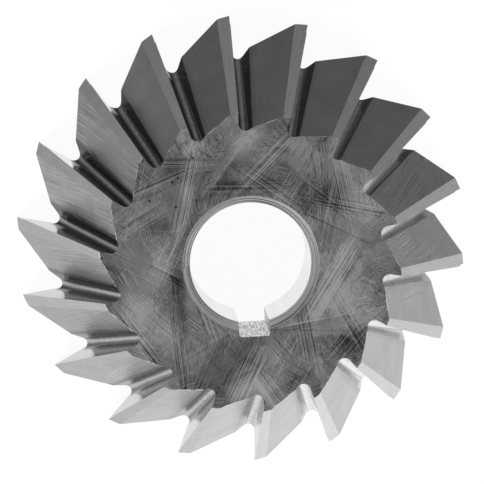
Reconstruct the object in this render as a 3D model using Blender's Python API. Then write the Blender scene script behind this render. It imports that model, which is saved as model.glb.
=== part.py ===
"""Single angle milling cutter, one solid of high-speed steel, lying on its large face.

+Z is the cutter's axis, from the large face up to the small one. The origin is the centre of the
large face. Seen from the small face, the teeth point clockwise.

A tooth's frame has u outwards along its rake face and v across it, into the tooth. The frame's
origin is on the axis, so the rake face is the plane v = RAKE_OFFSET.
"""

import math

import bmesh
import bpy
from mathutils import Matrix, Vector

MM = 0.001

# Turned body
OUTSIDE_DIAMETER = 63.0 * MM
WIDTH = 20.0 * MM
CONE_ANGLE = math.radians(60.0)  # from the large face to the cone

# Bore, with the recess that takes the head of the arbor's screw
BORE_DIAMETER = 16.0 * MM
BORE_CHAMFER = 1.0 * MM
RECESS_DIAMETER = 25.0 * MM
RECESS_DEPTH = 9.0 * MM
RECESS_CHAMFER = 0.5 * MM

# Keyway along the bore
KEYWAY_WIDTH = 4.1 * MM
KEYWAY_DEPTH = 1.7 * MM  # below the bore's wall
KEYWAY_CORNER = 0.35 * MM
KEYWAY_ANGLE = math.radians(-90.0)

# Teeth on the cone
TOOTH_COUNT = 18
RAKE = math.radians(3.0)
LARGE_END_LAND = 1.85 * MM
SMALL_END_LAND = 1.05 * MM
LAND_RELIEF = math.radians(12.5)
LARGE_END_TOOTH_DEPTH = 4.95 * MM
SMALL_END_TOOTH_DEPTH = 2.45 * MM
GULLET_ROOT_RADIUS = 0.95 * MM
GULLET_WALL_SLOPE = math.radians(32.0)
LARGE_END_WALL_HEIGHT = 0.9 * MM  # from the gullet's root to the brink, where the tooth's back begins
SMALL_END_WALL_HEIGHT = 0.4 * MM

# Teeth on the large face
HUB_WALL = 4.5 * MM  # plain ring between the recess and the face teeth
FACE_LAND = 1.4 * MM
FACE_RAKE_STEP = 0.08 * MM  # how far the face teeth's rake is cut in behind the cone teeth's
OUTER_FACE_DEPTH = 2.7 * MM
INNER_FACE_DEPTH = 1.4 * MM
OUTER_FACE_RELIEF = 0.8 * MM  # drop from a face tooth's land to the brink of its gash
INNER_FACE_RELIEF = 0.35 * MM
FACE_ROOT_RADIUS = 1.0 * MM
FACE_WALL_SLOPE = math.radians(53.0)
FACE_RUNOUT = 1.5  # run along the face for each unit of depth, where a gash ends at the hub

# Nick in the corner of one tooth
NICKED_TOOTH = 4
NICK_LENGTH = 0.6 * MM
NICK_DEPTH = 0.3 * MM
NICK_HEIGHT = 1.2 * MM

# Fineness
TURN_STEPS = 96
ROOT_STEPS = 16
BODY_SECTIONS = 5
CORNER_STEPS = 8
SHARP_ANGLE = math.radians(11.0)

CUT_CLEARANCE = 1.0 * MM  # how far a cutting shape passes a face that it cuts through

# Worked out from the sizes above
OUTSIDE_RADIUS = OUTSIDE_DIAMETER / 2
BORE_RADIUS = BORE_DIAMETER / 2
RECESS_RADIUS = RECESS_DIAMETER / 2
HUB_RADIUS = RECESS_RADIUS + HUB_WALL
PITCH = 2 * math.pi / TOOTH_COUNT
RAKE_OFFSET = OUTSIDE_RADIUS * math.sin(RAKE)


def clear_scene():
    for obj in list(bpy.data.objects):
        bpy.data.objects.remove(obj, do_unlink=True)


def blend(start, end, share):
    return start + (end - start) * share


def rake_direction(tooth):
    """Angle of a tooth's u axis about the cutter's axis. Tooth 0 has its corner in line with the keyway."""
    return KEYWAY_ANGLE + tooth * PITCH - RAKE


def groove_profile(radius, wall_slope, wall_height):
    """(distance ahead of the rake face, height above the root) from the wall's brink to the rake face."""
    tangent_width = radius * (1 + math.sin(wall_slope))
    tangent_height = radius * (1 - math.cos(wall_slope))
    brink_width = tangent_width + (wall_height - tangent_height) / math.tan(wall_slope)
    points = [(brink_width, wall_height)]
    for step in range(ROOT_STEPS + 1):
        angle = blend(wall_slope, -math.pi / 2, step / ROOT_STEPS)
        points.append((radius * (1 + math.sin(angle)), radius * (1 - math.cos(angle))))
    return points


def edge_radius(height):
    """Radius of the cutting edges at a height above the large face."""
    return OUTSIDE_RADIUS - height / math.tan(CONE_ANGLE)


def tooth_outline(height):
    """(u, v) of the gullet ahead of a tooth, then of the tooth's corner and the heel of its land."""
    share = height / WIDTH
    radius = edge_radius(height)
    root = radius - blend(LARGE_END_TOOTH_DEPTH, SMALL_END_TOOTH_DEPTH, share)
    land = blend(LARGE_END_LAND, SMALL_END_LAND, share)
    wall_height = blend(LARGE_END_WALL_HEIGHT, SMALL_END_WALL_HEIGHT, share)
    gullet = groove_profile(GULLET_ROOT_RADIUS, GULLET_WALL_SLOPE, wall_height)
    outline = [(root + up, RAKE_OFFSET - ahead) for ahead, up in gullet]
    tip = Vector((math.sqrt(radius**2 - RAKE_OFFSET**2), RAKE_OFFSET))
    outward = tip.normalized()
    behind = Vector((-outward.y, outward.x))
    heel = tip + land * (math.cos(LAND_RELIEF) * behind - math.sin(LAND_RELIEF) * outward)
    return outline + [tuple(tip), tuple(heel)]


def body_section(height):
    """The toothed outline of the whole cutter at a height above the large face."""
    section = []
    for tooth in range(TOOTH_COUNT):
        turn = Matrix.Rotation(rake_direction(tooth), 3, "Z")
        section += [turn @ Vector((u, v, height)) for u, v in tooth_outline(height)]
    return section


def loft(mesh, rings):
    """Joins rings of points of equal count into one closed solid."""
    rows = [[mesh.verts.new(point) for point in ring] for ring in rings]
    for lower, upper in zip(rows, rows[1:]):
        for i in range(len(lower)):
            j = (i + 1) % len(lower)
            mesh.faces.new((lower[i], lower[j], upper[j], upper[i]))
    mesh.faces.new(reversed(rows[0]))
    mesh.faces.new(rows[-1])


def revolve(mesh, profile):
    """Spins an (radius, height) outline that starts and ends on the axis."""
    verts = [mesh.verts.new((radius, 0, height)) for radius, height in profile]
    edges = [mesh.edges.new(pair) for pair in zip(verts, verts[1:])]
    bmesh.ops.spin(mesh, geom=verts + edges, axis=(0, 0, 1), cent=(0, 0, 0),
                   steps=TURN_STEPS, angle=2 * math.pi, use_merge=True)
    bmesh.ops.remove_doubles(mesh, verts=mesh.verts, dist=0.00001)


def finished(name, mesh):
    """Turns all faces outwards, makes them flat triangles for clean cuts, and makes an object."""
    bmesh.ops.recalc_face_normals(mesh, faces=mesh.faces)
    bmesh.ops.triangulate(mesh, faces=mesh.faces)
    data = bpy.data.meshes.new(name)
    mesh.to_mesh(data)
    mesh.free()
    obj = bpy.data.objects.new(name, data)
    bpy.context.collection.objects.link(obj)
    return obj


def toothed_body():
    mesh = bmesh.new()
    heights = [WIDTH * i / (BODY_SECTIONS - 1) for i in range(BODY_SECTIONS)]
    loft(mesh, [body_section(height) for height in heights])
    return finished("cutter", mesh)


def bore_shape():
    """The recess, the bore and their chamfers, from below the large face to above the small one."""
    mesh = bmesh.new()
    below, above = -CUT_CLEARANCE, WIDTH + CUT_CLEARANCE
    revolve(mesh, [
        (0, below),
        (RECESS_RADIUS + RECESS_CHAMFER + CUT_CLEARANCE, below),
        (RECESS_RADIUS, RECESS_CHAMFER),
        (RECESS_RADIUS, RECESS_DEPTH),
        (BORE_RADIUS, RECESS_DEPTH),
        (BORE_RADIUS, WIDTH - BORE_CHAMFER),
        (BORE_RADIUS + BORE_CHAMFER + CUT_CLEARANCE, above),
        (0, above),
    ])
    return finished("bore_shape", mesh)


def keyway_shape():
    """A bar with rounded lower corners, from inside the bore to the keyway's floor."""
    mesh = bmesh.new()
    half = KEYWAY_WIDTH / 2
    floor = BORE_RADIUS + KEYWAY_DEPTH
    outline = [(BORE_RADIUS / 2, half)]
    for side, start in ((1, math.pi / 2), (-1, 0)):
        for step in range(CORNER_STEPS + 1):
            angle = start - math.pi / 2 * step / CORNER_STEPS
            centre = (floor - KEYWAY_CORNER, side * (half - KEYWAY_CORNER))
            outline.append((centre[0] + KEYWAY_CORNER * math.cos(angle),
                            centre[1] + KEYWAY_CORNER * math.sin(angle)))
    outline.append((BORE_RADIUS / 2, -half))
    turn = Matrix.Rotation(KEYWAY_ANGLE, 3, "Z")
    ends = (RECESS_DEPTH - CUT_CLEARANCE, WIDTH + CUT_CLEARANCE)
    loft(mesh, [[turn @ Vector((u, v, z)) for u, v in outline] for z in ends])
    return finished("keyway_shape", mesh)


def heel_ahead(along):
    """v of the heel of the face land ahead of a tooth, at a distance along the tooth's u axis."""
    return (RAKE_OFFSET + FACE_LAND) / math.cos(PITCH) - along * math.tan(PITCH)


def face_gash_ring(start, runout):
    """One end of the gash ahead of a face tooth, in the tooth's frame. A runout tilts the end."""
    share = (start - HUB_RADIUS) / (OUTSIDE_RADIUS - HUB_RADIUS)
    depth = blend(INNER_FACE_DEPTH, OUTER_FACE_DEPTH, share)
    relief = blend(INNER_FACE_RELIEF, OUTER_FACE_RELIEF, share)
    ring = []
    for height in (-CUT_CLEARANCE, 0):
        along = start + runout * height
        ring.append(Vector((along, heel_ahead(along), height)))
    rake = RAKE_OFFSET + FACE_RAKE_STEP
    for ahead, up in groove_profile(FACE_ROOT_RADIUS, FACE_WALL_SLOPE, depth - relief):
        height = depth - up
        ring.append(Vector((start + runout * height, rake - ahead, height)))
    ring.append(Vector((start - runout * CUT_CLEARANCE, rake, -CUT_CLEARANCE)))
    return ring


def face_gash_shapes():
    mesh = bmesh.new()
    inner = face_gash_ring(HUB_RADIUS, FACE_RUNOUT)
    outer = face_gash_ring(OUTSIDE_RADIUS + CUT_CLEARANCE, 0)
    for tooth in range(TOOTH_COUNT):
        turn = Matrix.Rotation(rake_direction(tooth), 3, "Z")
        loft(mesh, [[turn @ point for point in ring] for ring in (inner, outer)])
    return finished("face_gash_shapes", mesh)


def nick_shape():
    """A small block that takes a bite out of one tooth's corner."""
    mesh = bmesh.new()
    corner = math.sqrt(OUTSIDE_RADIUS**2 - RAKE_OFFSET**2)
    length = NICK_LENGTH + CUT_CLEARANCE
    size = Vector((length, 2 * NICK_DEPTH, 2 * NICK_HEIGHT))
    place = Matrix.Translation((corner - NICK_LENGTH + length / 2, RAKE_OFFSET, 0))
    turn = Matrix.Rotation(rake_direction(NICKED_TOOTH), 4, "Z")
    bmesh.ops.create_cube(mesh, size=1, matrix=turn @ place @ Matrix.Diagonal(size).to_4x4())
    return finished("nick_shape", mesh)


def cut(body, shape):
    """Takes a shape away from the body, and keeps the shape as a hidden guide."""
    shape.hide_render = True
    shape.display_type = "WIRE"
    modifier = body.modifiers.new(shape.name, "BOOLEAN")
    modifier.object = shape
    modifier.operation = "DIFFERENCE"
    modifier.solver = "EXACT"
    with bpy.context.temp_override(object=body, active_object=body):
        bpy.ops.object.modifier_apply(modifier=modifier.name)


def tool_steel():
    material = bpy.data.materials.new("tool_steel")
    material.use_nodes = True
    shader = material.node_tree.nodes["Principled BSDF"]
    shader.inputs["Base Color"].default_value = (0.36, 0.36, 0.37, 1)
    shader.inputs["Metallic"].default_value = 1.0
    shader.inputs["Roughness"].default_value = 0.35
    return material


def main():
    clear_scene()
    cutter = toothed_body()
    for shape in (bore_shape(), keyway_shape(), face_gash_shapes(), nick_shape()):
        cut(cutter, shape)
    cutter.data.materials.append(tool_steel())
    cutter.data.shade_smooth()
    cutter.data.set_sharp_from_angle(angle=SHARP_ANGLE)


main()
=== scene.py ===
"""Single angle milling cutter on a pale floor, seen from above its small face.

The cutter's piece is a dressed copy of its CAD solid: merged, sorted into surfaces by place and
normal, and finished surface by surface with procedural steel. Run as a script; it is laid out as an
add-on so that its sizes and finishes can be changed in the sidebar.
"""

import math

import bmesh
import bpy
from bpy.props import FloatProperty, FloatVectorProperty, IntProperty, PointerProperty
from mathutils import Matrix, Vector


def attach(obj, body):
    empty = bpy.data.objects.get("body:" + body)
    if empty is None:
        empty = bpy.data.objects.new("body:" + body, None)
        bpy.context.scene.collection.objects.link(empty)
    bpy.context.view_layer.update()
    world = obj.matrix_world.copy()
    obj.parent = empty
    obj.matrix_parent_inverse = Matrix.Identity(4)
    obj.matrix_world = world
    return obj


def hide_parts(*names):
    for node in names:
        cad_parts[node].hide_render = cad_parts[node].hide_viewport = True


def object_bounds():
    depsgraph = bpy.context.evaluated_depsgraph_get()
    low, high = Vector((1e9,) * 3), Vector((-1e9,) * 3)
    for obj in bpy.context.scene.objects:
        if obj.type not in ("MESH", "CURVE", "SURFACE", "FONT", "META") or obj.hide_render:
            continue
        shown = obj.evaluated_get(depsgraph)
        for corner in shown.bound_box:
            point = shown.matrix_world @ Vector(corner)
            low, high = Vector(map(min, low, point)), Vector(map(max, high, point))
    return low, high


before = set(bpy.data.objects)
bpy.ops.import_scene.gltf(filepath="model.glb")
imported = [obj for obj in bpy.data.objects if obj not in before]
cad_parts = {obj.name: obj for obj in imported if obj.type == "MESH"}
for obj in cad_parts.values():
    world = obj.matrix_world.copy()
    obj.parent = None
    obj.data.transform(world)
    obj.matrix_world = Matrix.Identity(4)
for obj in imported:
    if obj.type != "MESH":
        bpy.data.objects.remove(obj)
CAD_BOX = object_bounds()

bl_info = {
    "name": "Single angle milling cutter",
    "version": (1, 0, 0),
    "blender": (4, 5, 0),
    "location": "View3D > Sidebar > Cutter",
    "description": "Dresses the cutter with ground, milled and turned steel on a pale studio floor",
    "category": "Add Mesh",
}

MM = 0.001
OUTER_RADIUS = max(CAD_BOX[1][1], -CAD_BOX[0][1])

# The piece's own UV map and attribute, which the finishes of its teeth read
SPREAD = "tooth_spread"
AHEAD = "ahead_of_rake"


# Sizes and colours

class CutterSizes(bpy.types.PropertyGroup):
    """Sizes of the CAD solid, by which its surfaces are told apart, and of the edges' finish"""
    teeth: IntProperty(
        name="Teeth", description="Teeth round the cutter, as the CAD solid has them",
        default=18, min=3)
    first_corner: FloatProperty(
        name="First corner", description="Azimuth of tooth 0's corner on the large face",
        default=math.radians(-90), subtype="ANGLE")
    rake: FloatProperty(
        name="Rake", description="Angle of the rake faces to the radius through the corner",
        default=math.radians(3), subtype="ANGLE")
    bore_radius: FloatProperty(
        name="Bore radius", description="Radius of the bore", default=8 * MM, unit="LENGTH")
    recess_depth: FloatProperty(
        name="Recess depth", description="Depth of the recess in the large face", default=9 * MM,
        unit="LENGTH")
    recess_radius: FloatProperty(
        name="Recess radius", description="Radius of the recess in the large face",
        default=12.5 * MM, unit="LENGTH")
    keyway_floor: FloatProperty(
        name="Keyway floor", description="Distance of the keyway's floor from the axis",
        default=9.7 * MM, unit="LENGTH")
    keyway_half_width: FloatProperty(
        name="Keyway half width", description="Half the keyway's width", default=2.05 * MM,
        unit="LENGTH")
    edge_break: FloatProperty(
        name="Edge break", description="Width taken off the rim of the small face",
        default=0.045 * MM, unit="LENGTH")
    smooth_angle: FloatProperty(
        name="Smooth below", description="Facets that meet at less than this angle are smoothed",
        default=math.radians(12), subtype="ANGLE")


class CutterColours(bpy.types.PropertyGroup):
    """Colours of the steel and of the floor"""
    steel: FloatVectorProperty(
        name="Steel", description="Colour of freshly ground steel", default=(0.60, 0.60, 0.60),
        subtype="COLOR", min=0, max=1)
    floor: FloatVectorProperty(
        name="Floor", description="Colour of the studio floor", default=(0.90, 0.90, 0.90),
        subtype="COLOR", min=0, max=1)


class CutterStudio(bpy.types.PropertyGroup):
    """The soft light, the room that the steel sees, and the camera"""
    key_power: FloatProperty(
        name="Floor light", description="Power of the soft light on the floor", default=30.0,
        unit="POWER")
    key_azimuth: FloatProperty(
        name="Light azimuth", description="Side of the cutter on which the soft light stands",
        default=math.radians(-100), subtype="ANGLE")
    key_elevation: FloatProperty(
        name="Light elevation", description="Height of the soft light above the floor, as an angle",
        default=math.radians(50), subtype="ANGLE")
    key_distance: FloatProperty(
        name="Light distance", description="Distance of the soft light from the cutter",
        default=1.2, unit="LENGTH")
    bright_side: FloatProperty(
        name="Bright side", description="Brightness that the steel sees on the light's side",
        default=1.0)
    overhead: FloatProperty(
        name="Overhead light", description="Brightness that the steel sees high on the light's side",
        default=0.9)
    camera_place: FloatVectorProperty(
        name="Camera place", description="Where the camera stands",
        default=(-15.957 * MM, 46.957 * MM, 307.567 * MM), subtype="XYZ", unit="LENGTH")
    camera_lens: FloatProperty(
        name="Camera lens", description="Focal length of the camera on a 36 mm sensor, in mm",
        default=165.7)


# Shader expressions

class Wire:
    """A shader socket that Python's operators turn into Math nodes."""

    def __init__(self, net, socket):
        self.net = net
        self.socket = socket

    def math(self, operation, other=0.0, first=None):
        inputs = {0: self, 1: other} if first is None else {0: first, 1: self}
        return self.net.add("ShaderNodeMath", {"operation": operation}, inputs)

    def __add__(self, other):
        return self.math("ADD", other)

    def __sub__(self, other):
        return self.math("SUBTRACT", other)

    def __mul__(self, other):
        return self.math("MULTIPLY", other)

    def __truediv__(self, other):
        return self.math("DIVIDE", other)

    def __rsub__(self, other):
        return self.math("SUBTRACT", first=other)

    __radd__ = __add__
    __rmul__ = __mul__


class Net:
    """Builds the nodes of one material or world."""

    def __init__(self, owner):
        self.tree = owner.node_tree
        self.tree.nodes.clear()

    def add(self, kind, settings=None, inputs=None, output=0):
        """Adds a node with its settings, then its inputs, and returns one of its outputs."""
        node = self.tree.nodes.new(kind)
        for name, value in (settings or {}).items():
            if name == "stops":
                set_stops(node.color_ramp, value)
            else:
                setattr(node, name, value)
        for name, value in (inputs or {}).items():
            if isinstance(value, Wire):
                self.tree.links.new(value.socket, node.inputs[name])
            else:
                node.inputs[name].default_value = value
        return Wire(self, node.outputs[output]) if len(node.outputs) else None

    def outputs(self, wire, *names):
        """More outputs of the node that a wire comes from."""
        return [Wire(self, wire.socket.node.outputs[name]) for name in names]

    def split(self, vector):
        """X, Y and Z of a vector."""
        return self.outputs(self.add("ShaderNodeSeparateXYZ", None, {0: vector}), *"XYZ")


def set_stops(ramp, stops):
    """Gives a colour ramp grey stops: pairs of place and brightness."""
    for place, level in stops[2:]:
        ramp.elements.new(place)
    for element, (place, level) in zip(ramp.elements, stops):
        element.position = place
        element.color = (level, level, level, 1)


def new_net(name):
    """A new material and its net."""
    material = bpy.data.materials.new(name)
    material.use_nodes = True
    return material, Net(material)


# Patterns. All of them work in millimetres.

def cutter_place(net):
    """The surface's place in the cutter's own frame."""
    place = net.add("ShaderNodeTexCoord", None, None, "Object")
    return net.add("ShaderNodeVectorMath", {"operation": "SCALE"}, {0: place, "Scale": 1 / MM})


def spread_place(net):
    """The place along and across a tooth's surface, from the piece's own UV map."""
    return net.add("ShaderNodeUVMap", {"uv_map": SPREAD})


def moved(net, place, centre, angle, size):
    """The place as seen from a centre and along an angle in degrees, counted in sizes."""
    return net.add("ShaderNodeMapping", {"vector_type": "TEXTURE"}, {
        "Vector": place, "Location": (*centre, 0), "Rotation": (0, 0, math.radians(angle)),
        "Scale": (*size, 1)})


def shifted(seed, shift):
    """The centre at which a seed puts a pattern, so that no two patterns show the same noise."""
    return seed * shift[0], seed * shift[1]


def noise(net, place, detail=1.0):
    """Noise about 0, mostly within -1 and 1, with spots about one unit across."""
    value = net.add("ShaderNodeTexNoise", {"noise_dimensions": "2D"}, {
        "Vector": place, "Scale": 1.0, "Detail": detail, "Roughness": 0.55})
    return (value - 0.5) * 4


def streaks(net, place, angle, pitch, length, seed, detail=1.0):
    """Noise drawn out along an angle, like the lines that grinding leaves."""
    centre = shifted(seed, (17.3, -9.1))
    return noise(net, moved(net, place, centre, angle, (length, pitch)), detail)


def cloud(net, place, size, seed, detail=1.0):
    """Soft noise with spots of a size."""
    centre = shifted(seed, (-13.7, 21.9))
    return noise(net, moved(net, place, centre, 0, (size, size)), detail)


def grit(net, place, size, seed):
    """Fine noise with spots of a size, for the grain of ground steel."""
    return noise(net, moved(net, place, (seed, seed), 0, (size, size)))


def step(net, value, start, end):
    """A soft step from 0 at the start to 1 at the end, which may be the lower of the two."""
    return net.add("ShaderNodeMapRange", {"interpolation_type": "SMOOTHSTEP"}, {
        "Value": value, "From Min": start, "From Max": end})


def oval(net, place, centre, size, angle):
    """1 in the middle of a soft oval, 0 outside it. Expects a flat place."""
    spot = net.add("ShaderNodeTexGradient", {"gradient_type": "SPHERICAL"}, {
        "Vector": moved(net, place, centre, angle, size)}, "Fac")
    return step(net, spot, 0.0, 1.0)


def flat(net, place):
    """The place with its height left out."""
    return net.add("ShaderNodeVectorMath", {"operation": "MULTIPLY"}, {0: place, 1: (1, 1, 0)})


def middle_and_run(start, end):
    """The middle of a straight run, and the run from its start to its end."""
    start, end = Vector(start), Vector(end)
    return (start + end) / 2, end - start


def measured(net, x, y, middle, direction, size):
    """How far (x, y) is from a middle along a direction, counted in sizes."""
    part = net.add("ShaderNodeMath", {"operation": "MULTIPLY_ADD"}, {
        0: y, 1: direction.y / size, 2: -middle.dot(direction) / size})
    return net.add("ShaderNodeMath", {"operation": "MULTIPLY_ADD"}, {
        0: x, 1: direction.x / size, 2: part})


def along_run(net, x, y, start, end, half_width):
    """(along, across) a straight run, both from -1 to 1."""
    middle, run = middle_and_run(start, end)
    ahead = run / run.length
    return (measured(net, x, y, middle, ahead, run.length / 2),
            measured(net, x, y, middle, Vector((-ahead.y, ahead.x)), half_width))


def scratch(net, x, y, start, end, half_width):
    """1 along a straight scratch, 0 beside it."""
    along, across = along_run(net, x, y, start, end, half_width)
    return (step(net, along.math("ABSOLUTE"), 1.0, 0.6)
            * step(net, across.math("ABSOLUTE"), 1.0, 0.0))


def band(net, place, start, end, half_width, seed):
    """(share, lines) of a band of long parallel lines. It fades out all round, with a ragged rim."""
    middle, run = middle_and_run(start, end)
    turn = math.degrees(math.atan2(run.y, run.x))
    lines = streaks(net, place, turn, pitch=0.10, length=20.0, seed=seed, detail=0.0)
    reach = (run.length * 0.6, half_width * 1.4)
    inside = net.add("ShaderNodeTexGradient", {"gradient_type": "SPHERICAL"}, {
        "Vector": moved(net, place, middle, turn, reach)}, "Fac")
    return step(net, inside + lines * 0.06, 0.0, 0.45), lines


def finish(net, shade, roughness, height=None, relief=0.0, darkest=0.05):
    """Steel whose colour is scaled by shade. Height, in units of the relief in mm, makes bumps."""
    steel = bpy.context.scene.cutter_colours.steel
    colour = net.add("ShaderNodeMix", {"data_type": "RGBA", "blend_type": "MULTIPLY"}, {
        0: 1.0, 6: (*steel, 1), 7: shade.math("MAXIMUM", darkest)}, 2)
    inputs = {"Base Color": colour, "Metallic": 1.0, "Roughness": roughness}
    if height:
        inputs["Normal"] = net.add("ShaderNodeBump", None, {
            "Height": height, "Distance": relief * MM})
    shader = net.add("ShaderNodeBsdfPrincipled", None, inputs)
    net.add("ShaderNodeOutputMaterial", None, {"Surface": shader})


# The finishes. Lengths in their tables are in mm, and directions in degrees.

# Patch size, pitch, length, seed and strength of the short ground lines on the small face
FACE_HATCH = ((4.4, 0.13, 12.0, 1, 1.15), (3.4, 0.12, 12.0, 2, 1.0), (7.0, 0.14, 18.0, 3, 0.9))
# Ends, half width, tone and strength of bands of long lines, each left by one pass of the wheel
FACE_BANDS = (
    ((-6.4, 16.6), (-9.6, 4.4), 1.3, 0.16, 1.2), ((-8.6, 6.4), (-12.6, -2.4), 1.2, 0.18, 1.2),
    ((-0.4, 15.8), (-6.0, 9.2), 0.5, 0.22, 1.2), ((6.8, 17.2), (-1.5, 9.4), 1.1, 0.10, 1.1),
    ((-2.8, 14.0), (7.2, 6.2), 0.9, -0.12, 1.1), ((11.8, 15.0), (14.0, 2.4), 1.2, 0.20, 1.2),
    ((7.4, -8.2), (16.2, 4.6), 1.7, 0.20, 1.4), ((8.8, -3.4), (12.6, 12.2), 0.9, 0.04, 1.0),
    ((6.6, -4.6), (8.2, -15.6), 1.4, 0.08, 1.1), ((-3.8, -19.2), (0.6, -10.8), 1.5, 0.20, 1.3),
    ((0.0, -14.6), (3.4, -20.0), 1.2, 0.22, 1.2), ((-17.2, -3.2), (-11.4, -8.8), 1.8, 0.22, 1.4),
    ((-10.4, 0.4), (-9.4, -17.6), 1.0, -0.18, 1.0), ((-18.8, 3.0), (-9.2, -2.6), 1.3, 0.06, 1.2),
    ((-15.8, 9.2), (-5.2, 13.2), 1.0, 0.03, 1.0), ((-12.8, 14.0), (1.0, 13.2), 0.7, -0.05, 1.0),
    ((5.8, 8.6), (19.0, 5.2), 0.9, -0.10, 1.1), ((7.0, 10.8), (18.4, 1.2), 0.7, -0.08, 1.0),
    ((-5.6, 10.2), (6.4, 9.6), 1.2, -0.26, 0.9), ((-8.4, 1.0), (-5.2, -9.8), 1.2, 0.0, 0.9),
    ((2.8, -9.2), (16.4, -7.4), 0.9, -0.05, 1.0), ((9.0, -1.6), (14.8, -12.6), 1.2, -0.05, 1.1),
    ((-18.2, -5.0), (-12.6, -13.4), 1.0, 0.0, 1.1), ((9.6, -13.8), (14.4, -8.8), 1.8, -0.02, 0.8),
    ((-8.6, -18.4), (-4.2, -9.6), 1.2, -0.12, 1.1), ((-16.2, 5.4), (-9.8, 8.8), 1.2, 0.05, 1.1),
)
# Direction, pitch, length, seed and strength of long lines that run across the small face
FACE_LINES = ((-35, 0.11, 30, 11, -0.6), (27, 0.12, 34, 13, 0.7), (56, 0.12, 38, 14, 0.9),
              (84, 0.12, 30, 15, 0.6), (-62, 0.12, 30, 16, 0.7))
# Middle, half sizes and direction of places on the small face where the lines are rubbed away
FACE_SMOOTH = (((0.4, 15.9), (3.8, 2.4), 40), ((-3.0, 11.6), (2.6, 1.6), -20),
               ((6.4, 12.9), (3.4, 1.6), -10), ((-14.4, 1.4), (2.4, 4.2), 0),
               ((-9.6, 9.2), (2.0, 3.0), 20), ((15.0, 2.6), (2.6, 4.4), 10),
               ((9.8, -9.0), (3.4, 2.2), 30), ((-6.6, -14.0), (3.2, 2.2), -30))
# Middle, half sizes, direction and strength of paler and darker places on the small face
FACE_PATCHES = (
    ((0.4, 16.2), (3.9, 2.1), 38, 1.0), ((-6.6, 15.8), (1.4, 2.8), 95, 0.35),
    ((-7.8, 9.4), (1.1, 5.6), -4, 0.45), ((-14.8, -5.5), (2.8, 2.6), 60, 0.60),
    ((-12.2, 1.4), (3.2, 4.6), 0, 0.25), ((11.6, -0.6), (6.6, 1.5), 56, 0.50),
    ((15.1, 5.9), (4.2, 4.6), 80, 0.30), ((9.4, -5.6), (5.4, 2.0), 42, 0.70),
    ((-0.4, -16.6), (5.0, 2.2), 10, 0.60), ((12.6, -5.4), (3.6, 3.4), 0, 0.30),
    ((7.2, 15.4), (4.0, 1.6), 20, 0.22), ((9.4, 9.4), (5.0, 6.0), 70, -0.78),
    ((-9.4, -4.4), (1.2, 7.4), 3, -0.50), ((13.4, -12.0), (4.2, 3.4), -45, -0.55),
    ((-5.2, -17.3), (2.8, 2.0), -20, -0.45), ((-15.1, 12.3), (2.6, 2.2), 0, -0.25),
    ((3.4, 11.6), (5.6, 2.4), -16, -0.30), ((-11.2, 5.8), (1.4, 3.4), 12, -0.22),
    ((5.9, -15.2), (3.2, 2.0), 20, -0.25), ((-17.6, -1.6), (1.8, 3.2), 0, -0.20),
    ((-15.0, -0.6), (5.0, 8.0), 0, 0.30), ((-13.4, -9.0), (5.0, 5.0), 30, 0.38),
    ((-9.6, 12.0), (6.0, 4.0), 20, -0.22), ((8.0, 6.4), (1.6, 4.2), 35, -0.30),
    ((14.2, 1.0), (5.2, 8.0), 10, 0.20), ((1.0, 13.6), (5.0, 3.0), 0, -0.10),
    ((-9.6, 10.2), (3.6, 3.2), 0, 0.22),
)
# Ends, half width and strength of single scratches on the small face
FACE_SCRATCHES = (
    ((-7.5, 6.3), (-11.8, -0.1), 0.16, 0.7), ((-8.5, 6.1), (-12.5, 1.0), 0.12, 0.55),
    ((-0.8, 15.5), (-4.6, 10.4), 0.11, 0.6), ((-1.1, 15.6), (-5.1, 10.6), 0.10, 0.5),
    ((-1.5, 13.3), (5.1, 7.5), 0.12, 0.4), ((5.1, 7.5), (17.5, 0.7), 0.12, -0.6),
    ((-13.7, 14.0), (-1.9, 13.2), 0.10, 0.35), ((7.9, 8.1), (18.9, 5.3), 0.15, -0.7),
    ((-0.7, 13.4), (6.2, 9.0), 0.12, -0.5), ((0.9, -8.9), (14.0, -9.8), 0.12, -0.4),
    ((11.1, -3.4), (12.9, -9.1), 0.12, -0.4), ((-10.3, -0.6), (-10.6, -8.0), 0.14, -0.5),
    ((8.4, -5.2), (13.8, 2.7), 0.13, 0.6), ((9.0, -5.8), (14.7, 2.2), 0.10, 0.5),
    ((-2.6, 15.2), (2.4, 18.0), 0.12, 0.6), ((-17.7, 5.6), (-8.4, 4.8), 0.10, 0.3),
    ((-16.1, -3.8), (-13.9, -9.9), 0.12, 0.6), ((10.9, 11.7), (17.4, 8.7), 0.10, -0.35),
)
# Middles of the pits in the small face
FACE_PITS = ((-8.9, 11.9), (-9.7, 11.4), (-12.8, 9.1), (-9.4, 8.1), (-6.9, 14.4), (-9.6, -16.0))
PIT_RADIUS = 0.26
# Brightness of the small face where it is plain, and how much tone, lines and scratches change it
FACE_SHADE = 0.68
TONE_SHARE = 0.85
LINE_SHARE = 0.30
SCRATCH_SHARE = 0.85
# Share of the short lines that a band hides, of the light that a pit swallows, and of all lines
# that a rubbed place has lost
BAND_COVER = 0.5
PIT_COVER = 0.8
RUBBED_COVER = 0.8


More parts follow.
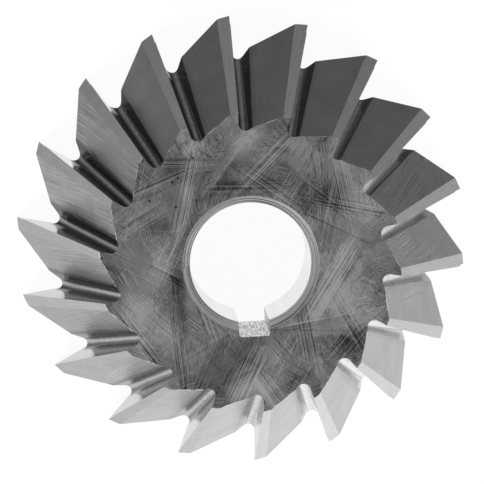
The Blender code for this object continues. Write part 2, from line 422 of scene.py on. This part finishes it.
def hatch(net, place, size, pitch, length, seed):
    """(lines, tone) of ground patches, each with a direction and a brightness of its own."""
    patches = moved(net, place, shifted(seed, (5.1, 3.7)), 0, (size, size))
    bends = net.add("ShaderNodeCombineXYZ", None, {
        0: cloud(net, place, size * 0.3, seed) * 0.2,
        1: cloud(net, place, size * 0.3, seed + 9) * 0.2})
    ragged = net.add("ShaderNodeVectorMath", {"operation": "ADD"}, {0: patches, 1: bends})
    colour = net.add("ShaderNodeTexVoronoi", {"voronoi_dimensions": "2D"}, {
        "Vector": ragged, "Scale": 1.0}, "Color")
    angle, phase, tone = net.outputs(
        net.add("ShaderNodeSeparateColor", None, {0: colour}), "Red", "Green", "Blue")
    angle = angle * math.pi
    cosine, sine = angle.math("COSINE"), angle.math("SINE")
    x, y = net.split(place)[:2]
    along = (x * cosine + y * sine) / length + phase * 20
    across = (y * cosine - x * sine) / pitch
    spots = net.add("ShaderNodeCombineXYZ", None, {0: along, 1: across})
    return noise(net, spots), tone - 0.5


def ground_small_face(net):
    """Ground by hand in patches of short lines, with long lines and scratches across them.

    The short lines come last: the renderer can't hold all these values at once in another order.
    """
    place = flat(net, cutter_place(net))
    x, y = net.split(place)[:2]
    tone = cloud(net, place, size=3.6, seed=21) * 0.15
    strokes = 0
    calm = 1
    for seed, (start, end, half_width, level, strength) in enumerate(FACE_BANDS, start=60):
        share, band_lines = band(net, place, start, end, half_width, seed)
        strokes = band_lines * share * (strength * 1.25) + strokes
        calm = (1 - share * BAND_COVER) * calm
        tone = share * level + tone
    where = step(net, cloud(net, place, size=7.0, seed=11), -0.4, 0.5) * 0.85
    for angle, pitch, length, seed, strength in FACE_LINES:
        long_lines = streaks(net, place, angle, pitch, length, seed, detail=0.0)
        strokes = strokes + step(net, long_lines, 0.3, 0.8) * where * strength
    marks = 0
    for start, end, half_width, strength in FACE_SCRATCHES:
        marks = scratch(net, x, y, start, end, half_width) * strength + marks
    marks = marks * step(net, cloud(net, place, size=1.6, seed=22), -1.2, 0.3)
    for centre, size, angle, strength in FACE_PATCHES:
        tone = oval(net, place, centre, size, angle) * strength + tone
    bare = 1
    for centre, size, angle in FACE_SMOOTH:
        bare = (1 - oval(net, place, centre, size, angle) * RUBBED_COVER) * bare
    pits = 0
    for centre in FACE_PITS:
        pits = oval(net, place, centre, (PIT_RADIUS, PIT_RADIUS), 0) * 2 + pits
    for size, pitch, length, seed, strength in FACE_HATCH:
        patch_lines, patch_tone = hatch(net, place, size, pitch, length, seed)
        where = step(net, cloud(net, place, size=3.0, seed=seed + 40), -0.3, 0.2)
        strokes = patch_lines * where * calm * strength + strokes
        tone = tone + patch_tone * 0.34
    lines = strokes * bare
    shade = FACE_SHADE + tone * TONE_SHARE + lines * LINE_SHARE + marks * SCRATCH_SHARE
    shade = shade * (1 - pits.math("MINIMUM", 1.0) * PIT_COVER)
    finish(net, shade, roughness=0.30, height=lines - pits * 3, relief=0.003, darkest=0.1)


def ground_land(net, seed):
    """Fine lines along a tooth's land, crossed by fainter ones."""
    place = spread_place(net)
    lines = streaks(net, place, angle=2, pitch=0.24, length=5.0, seed=seed, detail=2.0)
    faint = streaks(net, place, angle=-22, pitch=0.336, length=3.0, seed=seed + 1)
    tone = cloud(net, place, size=2.6, seed=seed + 2, detail=2.0)
    grain = grit(net, place, 0.12, seed)
    value = 1.3 * (1 + lines * 0.06 + faint * 0.03 + tone * 0.035 + grain * 0.02)
    finish(net, value, roughness=0.28, height=lines + faint * 0.5, relief=0.002)


# Distance from the rake plane to the tooth's brink on the large face, and how much it loses per mm
BRINK, BRINK_TAPER = 2.66, 0.04
# Painted reflection and shade across the gullet, from the foot of the rake face (0) to the brink
# (1), on the left and upper teeth and on the others: a bright streak and dark bars that stand in
# for what the steel reflects
GULLET_PAINTED_LIGHT = ((0.0, 0.13), (0.16, 0.17), (0.30, 0.66), (0.40, 0.72), (0.54, 0.24),
                 (0.75, 0.15), (0.95, 0.15), (1.0, 0.24))
OPEN_GULLET_PAINTED_LIGHT = ((0.0, 0.62), (0.10, 0.83), (0.56, 0.83), (0.69, 0.34), (0.78, 0.21),
                      (0.91, 0.23), (1.0, 0.34))


def gap_share(net):
    """0 at the foot of the next rake face, 1 at the brink between gullet and back."""
    ahead = net.add("ShaderNodeAttribute", {"attribute_name": AHEAD}, None, "Fac")
    z = net.split(cutter_place(net))[2]
    return ahead / (BRINK - z * BRINK_TAPER)


def facing(net, azimuth):
    """Cosine of the angle, seen from above, between the place and an azimuth in degrees."""
    x, y = net.split(cutter_place(net))[:2]
    turn = math.radians(azimuth)
    return (x * math.cos(turn) + y * math.sin(turn)) / (x * x + y * y).math("SQRT")


def milled_gullet_painted_light(net, seed):
    """Milled along the gullet, with painted reflection and shade: a bright streak in its root and
    darker flanks.

    On the right side the painted root is wide and bright, and the painted dark bar beside it stops
    short of the rim.
    """
    place = spread_place(net)
    lines = streaks(net, place, angle=0, pitch=0.15, length=6.0, seed=seed, detail=2.0)
    share = gap_share(net) + lines * 0.02
    narrow = net.add("ShaderNodeValToRGB", {"stops": GULLET_PAINTED_LIGHT}, {0: share})
    wide = net.add("ShaderNodeValToRGB", {"stops": OPEN_GULLET_PAINTED_LIGHT}, {0: share})
    z = net.split(cutter_place(net))[2]
    # Painted reflection: the side that the gullet faces picks between the two ramps, the upper teeth
    # are painted darker, and near the rim the dark bar is lifted
    near_rim = step(net, z, 6.5, 2.0)
    lower_right = step(net, facing(net, -60), 0.1, 0.4)
    upper = step(net, facing(net, 90), 0.3, 0.9)
    right = step(net, facing(net, -15), -0.1, 0.6)
    wide = wide.math("MAXIMUM", near_rim * (lower_right * 0.32 + 0.25)) * (1 - upper * 0.30)
    shade = (narrow + (wide - narrow) * right) * 2
    tone = cloud(net, place, size=1.2, seed=seed + 1, detail=2.0)
    value = shade * (1 + lines * 0.11 + tone * 0.14)
    finish(net, value, roughness=shade * 0.1 + 0.12, height=lines, relief=0.002)


def ground_rake_painted_shade(net, seed):
    """Fine lines along the rake face, with painted shade that makes it darker on the lower teeth."""
    place = spread_place(net)
    lines = streaks(net, place, angle=2, pitch=0.2, length=5.0, seed=seed, detail=2.0)
    tone = cloud(net, place, size=1.6, seed=seed + 1, detail=2.0)
    # Painted shade: the rake faces of the lower teeth are darker
    upper = step(net, facing(net, 90), 0.0, 0.55)
    shade = 0.76 + upper * 0.3
    value = shade * (1 + lines * 0.05 + tone * 0.10)
    finish(net, value, roughness=0.16, height=lines, relief=0.002)


def ground_back_painted_light(net, seed):
    """A tooth's back, ground nearly along the tooth. The lines weigh more at the left and the grain
    at the right, which is painted light that copies how the light picks them out.

    A painted shade darkens a strip beside the brink, most on the left teeth, and a painted fade
    takes the lines away towards the rim on the lower teeth.
    """
    place = spread_place(net)
    left = step(net, facing(net, 0), -0.58, -0.68)
    right = step(net, facing(net, 5), 0.85, 0.97)
    lines = streaks(net, place, angle=12, pitch=0.10, length=18.0, seed=seed)
    coarse = streaks(net, place, angle=11, pitch=0.12, length=26.0, seed=seed + 1, detail=0.0)
    coarse = step(net, coarse, 0.0, 0.25) - 0.4
    z = net.split(cutter_place(net))[2]
    # Painted fade: on the lower teeth the lines fade towards the rim
    lower = step(net, facing(net, -90), -0.4, 0.1)
    painted_fade = lower * step(net, z, 12.0, 3.0)
    where = step(net, cloud(net, place, size=3.0, seed=seed + 2), -0.9, 0.5) * (1 - painted_fade * 0.75)
    tone = cloud(net, place, size=4.5, seed=seed + 3)
    grain = grit(net, place, 0.14, seed)
    ragged = streaks(net, place, angle=0, pitch=0.25, length=6.0, seed=seed + 4)
    # Painted shade: a ragged dark strip beside the brink, deepest on the left teeth
    brink = step(net, gap_share(net) + ragged * 0.12, 1.32, 1.04)
    # Painted light: the lines weigh more at the left and the grain at the right, as the light picks
    # them out
    line_share = left * 0.22 + right * 0.32 + 0.08
    grain_share = right * 0.50 + 0.10
    value = 0.95 + (lines + coarse * left) * where * line_share + tone * 0.07 + grain * grain_share
    value = value * (1 - brink * (left * 0.45 + 0.12))
    finish(net, value, roughness=0.28, height=lines + coarse, relief=0.002)


def turned(net, shade, roughness, depth, seed, pitch, relief, along_axis=False):
    """Rings left by a turning tool, round the axis or, on a wall, one above another."""
    place = cutter_place(net)
    x, y, z = net.split(place)
    radius = (x * x + y * y).math("SQRT")
    run = z if along_axis else radius
    angle = y.math("ARCTAN2", x)
    rings_place = net.add("ShaderNodeCombineXYZ", None, {0: run / pitch + seed, 1: angle * 0.5})
    rings = noise(net, rings_place)
    tone = cloud(net, place, size=3.0, seed=seed)
    finish(net, (1 + rings * depth + tone * 0.06) * shade, roughness, rings, relief)


def turned_chamfer_painted_shade(net):
    """The bore's chamfer, with coarse rings, and painted shade that makes it darker at the left and
    the right.
    """
    # Painted shade: the chamfer's brightness follows the side of the bore that it faces
    shade = 0.90 + facing(net, 90).math("ABSOLUTE") * 0.30 + facing(net, -60) * 0.12
    turned(net, shade, roughness=0.40, depth=0.70, seed=32, pitch=0.11, relief=0.012)


def ground_flat(net, shade, roughness):
    """Lines of flat grinding, all one way, with faint clouds."""
    place = cutter_place(net)
    lines = streaks(net, place, angle=20, pitch=0.2, length=9.0, seed=61, detail=2.0)
    tone = cloud(net, place, size=3.0, seed=62, detail=2.0)
    finish(net, (1 + lines * 0.08 + tone * 0.06) * shade, roughness, lines, relief=0.003)


def broached(net):
    """Lines along the axis, with torn and mottled places."""
    x, y, z = net.split(cutter_place(net))
    place = net.add("ShaderNodeCombineXYZ", None, {0: z, 1: x + y})
    lines = streaks(net, place, angle=0, pitch=0.16, length=2.4, seed=33)
    torn = step(net, cloud(net, place, size=0.35, seed=36, detail=2.0), 0.2, 1.0)
    value = 1.10 + lines * 0.80 - torn * 0.75
    finish(net, value, roughness=0.35, height=lines, relief=0.004)


def broken_edge_painted_glint(net):
    """A fine broken edge, which catches the real light, with brighter patches in its colour that are
    a painted glint.
    """
    # Painted glint: brighter patches in the edge's colour
    shine = step(net, cloud(net, cutter_place(net), size=1.1, seed=71, detail=2.0), -0.3, 0.7)
    finish(net, shine * 1.1 + 0.45, roughness=0.25)


def turned_bore(net):
    """The bore's wall, bright and smooth."""
    turned(net, shade=1.35, roughness=0.22, depth=0.05, seed=31, pitch=0.3, relief=0.002,
           along_axis=True)


def turned_recess_wall(net):
    """The wall of the recess, duller than the bore."""
    turned(net, shade=1.0, roughness=0.35, depth=0.10, seed=34, pitch=0.3, relief=0.004,
           along_axis=True)


def turned_recess_floor(net):
    """The floor of the recess, round the bore."""
    turned(net, shade=1.0, roughness=0.35, depth=0.12, seed=35, pitch=0.3, relief=0.004)


# The finish of each surface of the cutter. Its name is also the material's.
FINISHES = {
    "small_face": ground_small_face,
    "large_face": lambda net: ground_flat(net, shade=1.0, roughness=0.30),
    "bore": turned_bore,
    "bore_chamfer": turned_chamfer_painted_shade,
    "keyway": broached,
    "recess_wall": turned_recess_wall,
    "recess_floor": turned_recess_floor,
    "face_gash": lambda net: ground_flat(net, shade=0.9, roughness=0.32),
    "rake_face": lambda net: ground_rake_painted_shade(net, seed=41),
    "gullet": lambda net: milled_gullet_painted_light(net, seed=44),
    "land": lambda net: ground_land(net, seed=50),
    "back": lambda net: ground_back_painted_light(net, seed=53),
    "broken_edge": broken_edge_painted_glint,
}


# The surfaces of the cutter

SURFACES = tuple(FINISHES)

CONE_ANGLE = math.radians(60)
# Azimuth from its tooth's corner and elevation, in degrees, of the normal of a tooth's surface
NORMALS = {"rake_face": (-93, 0), "gullet": (-3, 24.4), "land": (12.5, 30), "back": (37.6, 25)}
# How far a facet's normal may turn from that azimuth, in degrees
NORMAL_PLAY = {"rake_face": 2, "land": 6, "back": 7}
# A land lies in this first share of the pitch behind its rake face
LAND_SHARE = 0.35
# The upward part of the normal of a level, a nearly level and an upright facet
LEVEL, NEARLY_LEVEL, UPRIGHT = 0.999, 0.99, 0.02
# Play in a facet's place, when it is compared with the cutter's sizes
PLAY = 0.01 * MM
# How far apart two teeth lie in the UV map, in mm, so that no two look alike
TOOTH_SHIFT = (31.7, 17.9)


def fold(angle, period):
    """The angle, brought to within half a period of nought."""
    return (angle + period / 2) % period - period / 2


def turned_as(surface, turn, azimuth):
    """Whether a turn is as near to an azimuth in degrees as the surface's normals are."""
    return abs(turn - math.radians(azimuth)) < math.radians(NORMAL_PLAY[surface])


def gap_place(sizes, point):
    """(tooth number, share of the pitch) of a point, counted from that tooth's rake face."""
    pitch = 2 * math.pi / sizes.teeth
    radius = math.hypot(point.x, point.y)
    offset = OUTER_RADIUS * math.sin(sizes.rake)
    behind = math.atan2(point.y, point.x) - (sizes.first_corner - sizes.rake)
    behind -= math.asin(min(1.0, offset / radius))
    turns = (behind / pitch) % sizes.teeth
    return int(turns), turns - int(turns)


def hole_surface(sizes, centre, normal):
    """The surface of a facet inside the bore, its chamfer or the keyway."""
    if normal.z > 0.3:
        return "bore_chamfer"
    radius = math.hypot(centre.x, centre.y)
    inwards = -(centre.x * normal.x + centre.y * normal.y) / radius
    off_the_bore = radius > sizes.bore_radius + 2 * PLAY or inwards < 0.9
    in_line = abs(centre.x) < sizes.keyway_half_width + PLAY and centre.y < 0
    return "keyway" if off_the_bore and in_line else "bore"


def surface_of(sizes, centre, normal):
    """(surface, tooth) of a facet, told by its place and normal."""
    radius = math.hypot(centre.x, centre.y)
    if normal.z > NEARLY_LEVEL:
        return "small_face", 0
    if normal.z < -LEVEL and centre.z < PLAY:
        return "large_face", 0
    if radius < sizes.keyway_floor + 0.2 * MM and centre.z > sizes.recess_depth + PLAY:
        return hole_surface(sizes, centre, normal), 0
    if radius < sizes.recess_radius + 1 * MM:
        return ("recess_floor" if normal.z < -NEARLY_LEVEL else "recess_wall"), 0
    tooth, share = gap_place(sizes, centre)
    if normal.z < -UPRIGHT:
        return "face_gash", tooth
    pitch = 2 * math.pi / sizes.teeth
    azimuth = math.atan2(normal.y, normal.x) - sizes.first_corner
    rake_turn = azimuth + sizes.rake + math.pi / 2
    if abs(normal.z) < UPRIGHT and turned_as("rake_face", fold(rake_turn, pitch), 0):
        return "rake_face", round(rake_turn / pitch) % sizes.teeth
    turn = fold(azimuth - tooth * pitch, 2 * math.pi)
    if share < LAND_SHARE and turned_as("land", turn, NORMALS["land"][0]):
        return "land", tooth
    if turned_as("back", turn, NORMALS["back"][0]):
        return "back", tooth
    return "gullet", (tooth + round(share)) % sizes.teeth


def spread_flat(sizes, mesh):
    """Lays each tooth's surfaces out flat in a UV map, in mm: along the tooth, then across it.

    An attribute says how far ahead of the next rake plane each place is.
    """
    mesh.attributes.new(AHEAD, "FLOAT", "CORNER")
    mesh.uv_layers.new(name=SPREAD)
    layer, ahead = mesh.uv_layers[SPREAD], mesh.attributes[AHEAD]
    pitch = 2 * math.pi / sizes.teeth
    rake_offset = OUTER_RADIUS * math.sin(sizes.rake)
    inwards = sizes.first_corner - sizes.rake + math.pi
    slope = math.cos(CONE_ANGLE)
    edge = Vector((slope * math.cos(inwards), slope * math.sin(inwards), math.sin(CONE_ANGLE)))
    forwards = Vector((-math.sin(inwards), math.cos(inwards), 0))
    axes = {}
    for surface, (azimuth, elevation) in NORMALS.items():
        turn = math.radians(azimuth) + sizes.first_corner
        lift = math.radians(elevation)
        normal = Vector((math.cos(turn) * math.cos(lift), math.sin(turn) * math.cos(lift),
                         math.sin(lift)))
        along = (edge - edge.dot(normal) * normal).normalized()
        axes[surface] = (along, normal.cross(along))
    for facet in mesh.polygons:
        surface, tooth = surface_of(sizes, facet.center, facet.normal)
        if surface not in axes or facet.material_index != SURFACES.index(surface):
            continue
        back = Matrix.Rotation(-tooth * pitch, 3, "Z")
        next_back = Matrix.Rotation(-(tooth + (surface == "back")) * pitch, 3, "Z")
        along, across = axes[surface]
        for loop in facet.loop_indices:
            point = mesh.vertices[mesh.loops[loop].vertex_index].co
            place = back @ point
            layer.data[loop].uv = (place.dot(along) / MM + tooth * TOOTH_SHIFT[0],
                                   place.dot(across) / MM + tooth * TOOTH_SHIFT[1])
            ahead.data[loop].value = (rake_offset + (next_back @ point).dot(forwards)) / MM


def merged_copy(node):
    """A copy of a CAD node with its loose triangles merged, selected and active."""
    piece = bpy.data.objects.new("ground_cutter", node.data.copy())
    bpy.context.collection.objects.link(piece)
    bpy.ops.object.select_all(action="DESELECT")
    piece.select_set(True)
    bpy.context.view_layer.objects.active = piece
    bpy.ops.object.mode_set(mode="EDIT")
    bpy.ops.mesh.select_all(action="SELECT")
    bpy.ops.mesh.remove_doubles(threshold=0.001 * MM)
    bpy.ops.mesh.customdata_custom_splitnormals_clear()
    bpy.ops.object.mode_set(mode="OBJECT")
    return piece


def give_finishes(sizes, mesh):
    """Gives the mesh one material for each finish, and each facet the one of its surface."""
    mesh.materials.clear()
    for name, make in FINISHES.items():
        material, net = new_net(name)
        make(net)
        mesh.materials.append(material)
    for facet in mesh.polygons:
        surface = surface_of(sizes, facet.center, facet.normal)[0]
        facet.material_index = SURFACES.index(surface)


def break_edges(mesh, width):
    """Takes the sharpness off the rim of the small face."""
    bpy.ops.object.mode_set(mode="EDIT")
    bpy.ops.mesh.select_mode(type="EDGE")
    bpy.ops.mesh.select_all(action="DESELECT")
    edit = bmesh.from_edit_mesh(mesh)
    for edge in edit.edges:
        sides = {SURFACES[facet.material_index] for facet in edge.link_faces}
        edge.select_set(sides in ({"small_face", "back"}, {"small_face", "land"}))
    bmesh.update_edit_mesh(mesh)
    bpy.ops.mesh.bevel(offset=width, segments=1, material=SURFACES.index("broken_edge"))
    bpy.ops.object.mode_set(mode="OBJECT")


class CUTTER_OT_ground_cutter(bpy.types.Operator):
    """Dresses a merged copy of the CAD solid, surface by surface"""
    bl_idname = "cutter.ground_cutter"
    bl_label = "Ground cutter"

    def execute(self, context):
        sizes = context.scene.cutter_sizes
        piece = merged_copy(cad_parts["cutter"])
        give_finishes(sizes, piece.data)
        break_edges(piece.data, sizes.edge_break)
        spread_flat(sizes, piece.data)
        bpy.ops.object.shade_smooth_by_angle(angle=sizes.smooth_angle)
        weighted = piece.modifiers.new("even_normals", "WEIGHTED_NORMAL")
        weighted.keep_sharp = True
        bpy.ops.object.modifier_apply(modifier=weighted.name)
        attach(piece, "root")
        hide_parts("cutter")
        return {"FINISHED"}


# The stage

# Brightness of the room, from straight below (0) past the horizon (0.5) to overhead (1)
ROOM_LEVELS = ((0.0, 1.0), (0.05, 1.0), (0.12, 0.07), (0.23, 0.075), (0.30, 0.28), (0.5, 0.32),
               (0.72, 0.5), (0.9, 0.27), (1.0, 0.27))
# The bright side from left (0) to right (1)
SIDE_LEVELS = ((0.1, 0.50), (0.24, 0.46), (0.36, 0.45), (0.45, 0.52), (0.6, 0.78), (0.73, 0.78),
               (0.8, 0.67), (0.88, 0.60))
# Share of the overhead light that each height shows
OVERHEAD_BAND = ((0.0, 0.0), (0.58, 0.0), (0.66, 1.0), (0.84, 1.0), (0.9, 0.0), (1.0, 0.0))
# Share of the bright side that each height shows
SIDE_BAND = ((0.0, 0.0), (0.05, 0.0), (0.12, 1.0), (0.45, 1.0), (0.6, 0.0))
# Where the bright side ends towards the back, how far it takes to fade, and what each of these
# gains between two heights low in the room
SIDE_END, SIDE_END_GAIN = 0.55, 0.3
SIDE_FADE, SIDE_FADE_GAIN = 0.95, 0.65
GAIN_HEIGHTS = (-0.64, -0.5)
# The overhead light fades in between these directions, from the back to the front
OVERHEAD_FADE = (0.2, -0.5)
# The floor's width and its gap under the cutter, and the sides of the soft light, in metres
FLOOR_WIDTH = 6
FLOOR_GAP = 0.02 * MM
KEY_LIGHT_SIDES = (0.6, 0.4)
# Share of plain white in what the camera sees of the floor, which leaves a faint shadow
FLOOR_WHITE = 0.95
# The camera's back and up directions, fitted to the tips of the teeth in the photo
CAMERA_BACK = (-0.0512, 0.1510, 0.9872)
CAMERA_UP = (0.06208, 0.98707, -0.14776)


def floor_material(colours):
    """Pale and lit. The camera sees it nearly white with a faint shadow, the steel sees the room."""
    material, net = new_net("studio_floor")
    lit = net.add("ShaderNodeBsdfDiffuse", None, {"Color": (*colours.floor, 1)})
    white = net.add("ShaderNodeEmission", None, {"Color": (1, 1, 1, 1), "Strength": 1.0})
    faint = net.add("ShaderNodeMixShader", None, {0: FLOOR_WHITE, 1: lit, 2: white})
    clear = net.add("ShaderNodeBsdfTransparent")
    camera, glossy, shadow = net.outputs(
        net.add("ShaderNodeLightPath"), "Is Camera Ray", "Is Glossy Ray", "Is Shadow Ray")
    seen = net.add("ShaderNodeMixShader", None, {0: camera, 1: lit, 2: faint})
    shader = net.add("ShaderNodeMixShader", None, {
        0: glossy.math("MAXIMUM", shadow), 1: seen, 2: clear})
    net.add("ShaderNodeOutputMaterial", None, {"Surface": shader})
    return material


def make_floor(colours):
    """A wide plain floor, just clear of the cutter's large face."""
    bpy.ops.object.select_all(action="DESELECT")
    bpy.ops.mesh.primitive_plane_add(size=FLOOR_WIDTH, location=(0, 0, -FLOOR_GAP))
    floor = bpy.context.object
    floor.name = "studio_floor"
    bpy.ops.object.transform_apply(location=True, rotation=True, scale=True)
    floor.data.materials.append(floor_material(colours))


def make_world(studio):
    """White behind the cutter for the camera. The steel sees a room with one bright side."""
    world = bpy.data.worlds.new("studio_world")
    world.use_nodes = True
    bpy.context.scene.world = world
    net = Net(world)
    x, y, z = net.split(net.add("ShaderNodeTexCoord", None, None, "Generated"))
    up = z * 0.5 + 0.5
    room = net.add("ShaderNodeValToRGB", {"stops": ROOM_LEVELS}, {0: up})
    band = net.add("ShaderNodeValToRGB", {"stops": SIDE_BAND}, {0: up})
    amount = net.add("ShaderNodeValToRGB", {"stops": SIDE_LEVELS}, {0: x * 0.5 + 0.5})
    gain = net.add("ShaderNodeMapRange", None, {
        "Value": z, "From Min": GAIN_HEIGHTS[0], "From Max": GAIN_HEIGHTS[1]})
    end = SIDE_END + gain * SIDE_END_GAIN
    side = step(net, (end - y) / (SIDE_FADE + gain * SIDE_FADE_GAIN), 0.0, 1.0)
    overhead = net.add("ShaderNodeValToRGB", {"stops": OVERHEAD_BAND}, {0: up})
    level = room + band * side * amount * studio.bright_side
    level = level + overhead * step(net, y, *OVERHEAD_FADE) * studio.overhead
    lit = net.add("ShaderNodeBackground", None, {"Color": (1, 1, 1, 1), "Strength": level})
    white = net.add("ShaderNodeBackground", None, {"Color": (1, 1, 1, 1)})
    seen = net.add("ShaderNodeLightPath", None, None, "Is Camera Ray")
    net.add("ShaderNodeOutputWorld", None, {
        "Surface": net.add("ShaderNodeMixShader", None, {0: seen, 1: lit, 2: white})})


def make_key_light(studio):
    """A soft light that gives the floor its faint shadow."""
    lamp = bpy.data.lights.new("key_light", "AREA")
    lamp.shape = "RECTANGLE"
    lamp.size, lamp.size_y = KEY_LIGHT_SIDES
    lamp.energy = studio.key_power
    light = bpy.data.objects.new("key_light", lamp)
    bpy.context.collection.objects.link(light)
    light.visible_glossy = False
    reach = math.cos(studio.key_elevation)
    away = Vector((reach * math.cos(studio.key_azimuth), reach * math.sin(studio.key_azimuth),
                   math.sin(studio.key_elevation)))
    light.location = away * studio.key_distance
    light.rotation_euler = away.to_track_quat("Z", "Y").to_euler()


def make_camera(studio):
    """A camera that looks down on the small face, as in the photo."""
    camera = bpy.data.objects.new("camera", bpy.data.cameras.new("camera"))
    bpy.context.collection.objects.link(camera)
    back = Vector(CAMERA_BACK).normalized()
    right = Vector(CAMERA_UP).cross(back).normalized()
    turn = Matrix((right, back.cross(right), back)).transposed()
    camera.matrix_world = Matrix.Translation(studio.camera_place) @ turn.to_4x4()
    camera.data.lens = studio.camera_lens
    camera.data.sensor_width = 36
    camera.data.clip_start = 0.01
    bpy.context.scene.camera = camera


class CUTTER_OT_stage(bpy.types.Operator):
    """Adds the floor, the room, the soft light and the camera"""
    bl_idname = "cutter.stage"
    bl_label = "Studio stage"

    def execute(self, context):
        studio = context.scene.cutter_studio
        make_floor(context.scene.cutter_colours)
        make_world(studio)
        make_key_light(studio)
        make_camera(studio)
        context.scene.view_settings.view_transform = "Standard"
        return {"FINISHED"}


class CUTTER_PT_panel(bpy.types.Panel):
    """Lists the cutter's pieces and its settings"""
    bl_idname = "CUTTER_PT_panel"
    bl_label = "Milling cutter"
    bl_space_type = "VIEW_3D"
    bl_region_type = "UI"
    bl_category = "Cutter"

    def draw(self, context):
        scene = context.scene
        for operator in OPERATORS:
            self.layout.operator(operator.bl_idname)
        for group in (scene.cutter_sizes, scene.cutter_colours, scene.cutter_studio):
            box = self.layout.box()
            for name in group.__annotations__:
                box.prop(group, name)


OPERATORS = (CUTTER_OT_stage, CUTTER_OT_ground_cutter)
GROUPS = {"cutter_sizes": CutterSizes, "cutter_colours": CutterColours,
          "cutter_studio": CutterStudio}


def register():
    """Registers the classes, and gives every scene the settings."""
    for group in (*GROUPS.values(), *OPERATORS, CUTTER_PT_panel):
        bpy.utils.register_class(group)
    for name, group in GROUPS.items():
        setattr(bpy.types.Scene, name, PointerProperty(type=group))


def unregister():
    """Undoes what register does."""
    for name in GROUPS:
        delattr(bpy.types.Scene, name)
    for group in (CUTTER_PT_panel, *OPERATORS, *GROUPS.values()):
        bpy.utils.unregister_class(group)


def main():
    """Builds the stage and the cutter."""
    register()
    bpy.ops.cutter.stage()
    bpy.ops.cutter.ground_cutter()


if __name__ == "__main__":
    main()
